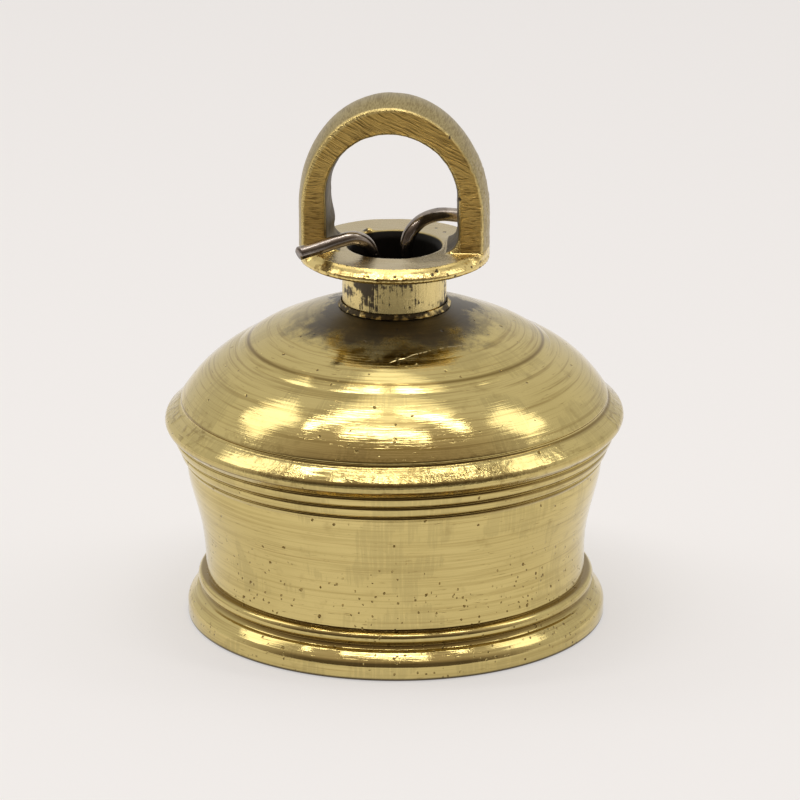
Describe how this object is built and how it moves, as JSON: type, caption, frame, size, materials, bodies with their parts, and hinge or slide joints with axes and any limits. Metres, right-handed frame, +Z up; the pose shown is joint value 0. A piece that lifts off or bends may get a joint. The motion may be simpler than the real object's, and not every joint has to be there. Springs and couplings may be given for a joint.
{
  "type": "brass hand bell with hanging loop",
  "caption": "Turned brass bell with a domed top, beaded shoulder, waisted wall, arched hanging loop and a clapper hung on a bent iron wire.",
  "frame": {"origin": "centre of the rim's flat face, on the bell's axis", "axes": "+Z up along the bell's axis, towards the hanging loop; the loop lies in the XZ plane and its ground front faces -Y"},
  "size_m": [0.1, 0.1, 0.1171],
  "materials": {
    "turned_brass": "lathe-turned and hand-polished, fine circular lines, small casting pits",
    "cast_brass": "cast, turned outside, coarsely ground faces, dark as-cast inside",
    "braze_metal": "rough bright braze",
    "iron_wire": "dark annealed wire, rubbed brighter on top",
    "iron_rod": "dark annealed rod",
    "bob_brass": "cast and roughly turned"
  },
  "bodies": {
    "bell": {"bell_shell": "turned_brass", "crown_casting": "cast_brass", "crown_braze": "braze_metal"},
    "hanger": {"hanger_wire": "iron_wire"},
    "clapper": {"clapper_shank": "iron_rod", "clapper_bob": "bob_brass"}
  },
  "joints": [
    {"name": "hanger_turn", "type": "hinge", "parent": "bell", "child": "hanger", "pos_m": [0, 0, 0.0837], "axis": [0, 0, 1], "range_deg": [-3, 107]},
    {"name": "clapper_swing", "type": "hinge", "parent": "hanger", "child": "clapper", "pos_m": [0, 0, 0.0574], "axis": [0.809, 0.5878, 0], "range_deg": [-48, 48]}
  ]
}
